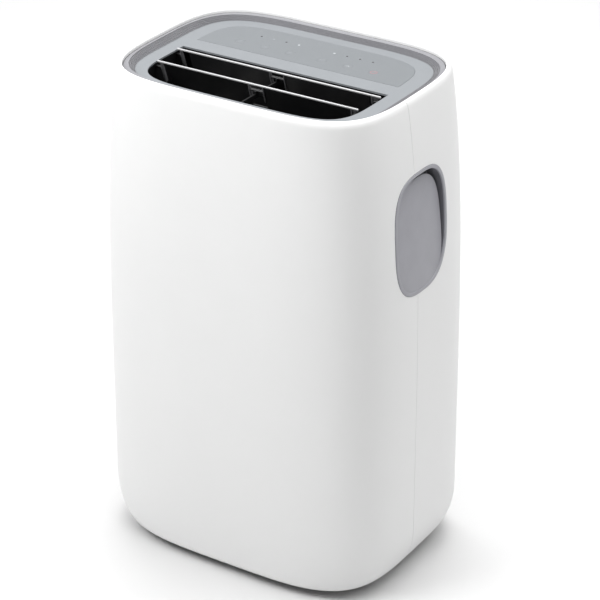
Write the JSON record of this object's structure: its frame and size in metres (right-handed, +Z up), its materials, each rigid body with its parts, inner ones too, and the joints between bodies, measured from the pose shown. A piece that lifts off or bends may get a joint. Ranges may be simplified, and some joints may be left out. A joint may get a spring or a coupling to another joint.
{
  "type": "portable air conditioner",
  "caption": "Upright portable room air conditioner: tapering white casing, top outlet with swinging vanes, key panel, side hand grips, rear intakes and exhaust collar, on swivel casters.",
  "frame": {"origin": "on the floor, under the middle of the casing", "axes": "+Z up, the front of the casing faces -Y, the right-hand side seen from behind the unit's own front is +X"},
  "size_m": [0.46, 0.319, 0.712],
  "materials": {
    "white_shell": "smooth satin-gloss white",
    "trim_grey": "satin mid grey",
    "deck_grey": "satin light grey",
    "panel_grey": "smooth satin film",
    "silver_trim": "satin light grey",
    "black_plastic": "satin black",
    "dark_plastic": "matt dark grey",
    "caster_tread": "matt black",
    "light_guide": "clear smoked",
    "circuit_board": "green lacquer",
    "filter_mesh": "fine woven mesh",
    "foam": "expanded foam",
    "soft_rubber": "matt",
    "bare_steel": "galvanised",
    "black_paint": "satin black",
    "aluminium_fins": "finned",
    "copper_pipe": "dull copper"
  },
  "bodies": {
    "cabinet": {"front_casing": "white_shell", "rear_casing": "white_shell", "exhaust_collar": "white_shell", "trim_ring": "trim_grey", "grip_cup_right": "trim_grey", "grip_cup_left": "trim_grey", "top_deck": "deck_grey", "control_overlay": "panel_grey", "outlet_duct": "black_plastic", "exhaust_guard": "dark_plastic", "base_pan": "dark_plastic", "lamp_light_guide": "light_guide", "control_board": "circuit_board", "evaporator_scroll": "foam", "condenser_scroll": "foam", "mid_tray": "foam", "cord_gland": "soft_rubber", "swing_motor": "bare_steel", "evaporator_motor": "bare_steel", "condenser_motor": "bare_steel", "control_box": "bare_steel", "compressor": "black_paint", "accumulator": "black_paint", "evaporator_coil": "aluminium_fins", "condenser_coil": "aluminium_fins", "discharge_pipe": "copper_pipe", "suction_pipe": "copper_pipe"},
    "rear_louver": {"louver_rear_trim": "silver_trim", "louver_rear_blade": "black_plastic"},
    "front_louver": {"louver_front_trim": "silver_trim", "louver_front_blade": "black_plastic"},
    "louver_bar": {"louver_link": "dark_plastic"},
    "guide_bar": {"guide_link": "dark_plastic"},
    "upper_intake": {"intake_grille_upper": "white_shell", "air_filter_upper": "filter_mesh"},
    "lower_intake": {"intake_grille_lower": "white_shell", "air_filter_lower": "filter_mesh"},
    "upper_plug": {"drain_plug_upper": "soft_rubber"},
    "lower_plug": {"drain_plug_lower": "soft_rubber"},
    "evaporator_fan": {"evaporator_wheel": "black_plastic"},
    "condenser_fan": {"condenser_wheel": "black_plastic"},
    "guide_1": {"guide_vane_1": "black_plastic"},
    "guide_2": {"guide_vane_2": "black_plastic"},
    "guide_3": {"guide_vane_3": "black_plastic"},
    "guide_4": {"guide_vane_4": "black_plastic"},
    "guide_5": {"guide_vane_5": "black_plastic"},
    "key_timer_cap": {"key_timer": "panel_grey"},
    "key_mode_cap": {"key_mode": "panel_grey"},
    "key_fan_cap": {"key_fan": "panel_grey"},
    "key_down_cap": {"key_down": "panel_grey"},
    "key_up_cap": {"key_up": "panel_grey"},
    "key_power_cap": {"key_power": "panel_grey"},
    "swivel_front_left": {"caster_fork_front_left": "dark_plastic"},
    "roller_front_left": {"caster_wheel_front_left": "caster_tread"},
    "swivel_front_right": {"caster_fork_front_right": "dark_plastic"},
    "roller_front_right": {"caster_wheel_front_right": "caster_tread"},
    "swivel_rear_left": {"caster_fork_rear_left": "dark_plastic"},
    "roller_rear_left": {"caster_wheel_rear_left": "caster_tread"},
    "swivel_rear_right": {"caster_fork_rear_right": "dark_plastic"},
    "roller_rear_right": {"caster_wheel_rear_right": "caster_tread"}
  },
  "joints": [
    {"name": "rear_louver_swing", "type": "hinge", "parent": "cabinet", "child": "rear_louver", "pos_m": [0, -0.0147, 0.6935], "axis": [1, 0, 0], "range_deg": [-85, 8]},
    {"name": "front_louver_swing", "type": "hinge", "parent": "cabinet", "child": "front_louver", "pos_m": [0, -0.0647, 0.6935], "axis": [1, 0, 0], "range_deg": [-85, 8]},
    {"name": "louver_bar_pivot", "type": "hinge", "parent": "rear_louver", "child": "louver_bar", "pos_m": [0, -0.00786, 0.67471], "axis": [1, 0, 0], "range_deg": [-8, 85]},
    {"name": "guide_1_swing", "type": "hinge", "parent": "cabinet", "child": "guide_1", "pos_m": [-0.112, 0, 0.63], "axis": [0, 1, 0], "range_deg": [-35, 35]},
    {"name": "guide_2_swing", "type": "hinge", "parent": "cabinet", "child": "guide_2", "pos_m": [-0.056, 0, 0.63], "axis": [0, 1, 0], "range_deg": [-35, 35]},
    {"name": "guide_3_swing", "type": "hinge", "parent": "cabinet", "child": "guide_3", "pos_m": [0, 0, 0.63], "axis": [0, 1, 0], "range_deg": [-35, 35]},
    {"name": "guide_4_swing", "type": "hinge", "parent": "cabinet", "child": "guide_4", "pos_m": [0.056, 0, 0.63], "axis": [0, 1, 0], "range_deg": [-35, 35]},
    {"name": "guide_5_swing", "type": "hinge", "parent": "cabinet", "child": "guide_5", "pos_m": [0.112, 0, 0.63], "axis": [0, 1, 0], "range_deg": [-35, 35]},
    {"name": "guide_bar_pivot", "type": "hinge", "parent": "guide_1", "child": "guide_bar", "pos_m": [-0.112, 0, 0.612], "axis": [0, 1, 0], "range_deg": [-35, 35]},
    {"name": "key_timer_press", "type": "slide", "parent": "cabinet", "child": "key_timer_cap", "axis": [0, 0, -1], "range_m": [0, 0.0008], "stiffness_N_per_m": 400},
    {"name": "key_mode_press", "type": "slide", "parent": "cabinet", "child": "key_mode_cap", "axis": [0, 0, -1], "range_m": [0, 0.0008], "stiffness_N_per_m": 400},
    {"name": "key_fan_press", "type": "slide", "parent": "cabinet", "child": "key_fan_cap", "axis": [0, 0, -1], "range_m": [0, 0.0008], "stiffness_N_per_m": 400},
    {"name": "key_down_press", "type": "slide", "parent": "cabinet", "child": "key_down_cap", "axis": [0, 0, -1], "range_m": [0, 0.0008], "stiffness_N_per_m": 400},
    {"name": "key_up_press", "type": "slide", "parent": "cabinet", "child": "key_up_cap", "axis": [0, 0, -1], "range_m": [0, 0.0008], "stiffness_N_per_m": 400},
    {"name": "key_power_press", "type": "slide", "parent": "cabinet", "child": "key_power_cap", "axis": [0, 0, -1], "range_m": [0, 0.0008], "stiffness_N_per_m": 400},
    {"name": "upper_intake_pull", "type": "slide", "parent": "cabinet", "child": "upper_intake", "axis": [0, 1, 0], "range_m": [0, 0.06]},
    {"name": "lower_intake_pull", "type": "slide", "parent": "cabinet", "child": "lower_intake", "axis": [0, 1, 0], "range_m": [0, 0.06]},
    {"name": "upper_plug_pull", "type": "slide", "parent": "cabinet", "child": "upper_plug", "axis": [0, 1, 0], "range_m": [0, 0.03]},
    {"name": "lower_plug_pull", "type": "slide", "parent": "cabinet", "child": "lower_plug", "axis": [0, 1, 0], "range_m": [0, 0.03]},
    {"name": "evaporator_fan_spin", "type": "hinge", "parent": "cabinet", "child": "evaporator_fan", "pos_m": [0, 0, 0.512], "axis": [0, 1, 0], "continuous": true},
    {"name": "condenser_fan_spin", "type": "hinge", "parent": "cabinet", "child": "condenser_fan", "pos_m": [0.035, 0, 0.182], "axis": [0, 1, 0], "continuous": true},
    {"name": "swivel_front_left_turn", "type": "hinge", "parent": "cabinet", "child": "swivel_front_left", "pos_m": [-0.134, -0.096, 0], "axis": [0, 0, 1], "continuous": true},
    {"name": "roller_front_left_spin", "type": "hinge", "parent": "swivel_front_left", "child": "roller_front_left", "pos_m": [-0.121, -0.096, 0.017], "axis": [0, 1, 0], "continuous": true},
    {"name": "swivel_front_right_turn", "type": "hinge", "parent": "cabinet", "child": "swivel_front_right", "pos_m": [0.134, -0.096, 0], "axis": [0, 0, 1], "continuous": true},
    {"name": "roller_front_right_spin", "type": "hinge", "parent": "swivel_front_right", "child": "roller_front_right", "pos_m": [0.147, -0.096, 0.017], "axis": [0, 1, 0], "continuous": true},
    {"name": "swivel_rear_left_turn", "type": "hinge", "parent": "cabinet", "child": "swivel_rear_left", "pos_m": [-0.134, 0.096, 0], "axis": [0, 0, 1], "continuous": true},
    {"name": "roller_rear_left_spin", "type": "hinge", "parent": "swivel_rear_left", "child": "roller_rear_left", "pos_m": [-0.121, 0.096, 0.017], "axis": [0, 1, 0], "continuous": true},
    {"name": "swivel_rear_right_turn", "type": "hinge", "parent": "cabinet", "child": "swivel_rear_right", "pos_m": [0.134, 0.096, 0], "axis": [0, 0, 1], "continuous": true},
    {"name": "roller_rear_right_spin", "type": "hinge", "parent": "swivel_rear_right", "child": "roller_rear_right", "pos_m": [0.147, 0.096, 0.017], "axis": [0, 1, 0], "continuous": true}
  ],
  "couplings": [
    {"joint": "front_louver_swing", "follows": "rear_louver_swing", "ratio": 1},
    {"joint": "louver_bar_pivot", "follows": "rear_louver_swing", "ratio": -1},
    {"joint": "guide_2_swing", "follows": "guide_1_swing", "ratio": 1},
    {"joint": "guide_3_swing", "follows": "guide_1_swing", "ratio": 1},
    {"joint": "guide_4_swing", "follows": "guide_1_swing", "ratio": 1},
    {"joint": "guide_5_swing", "follows": "guide_1_swing", "ratio": 1},
    {"joint": "guide_bar_pivot", "follows": "guide_1_swing", "ratio": -1}
  ]
}
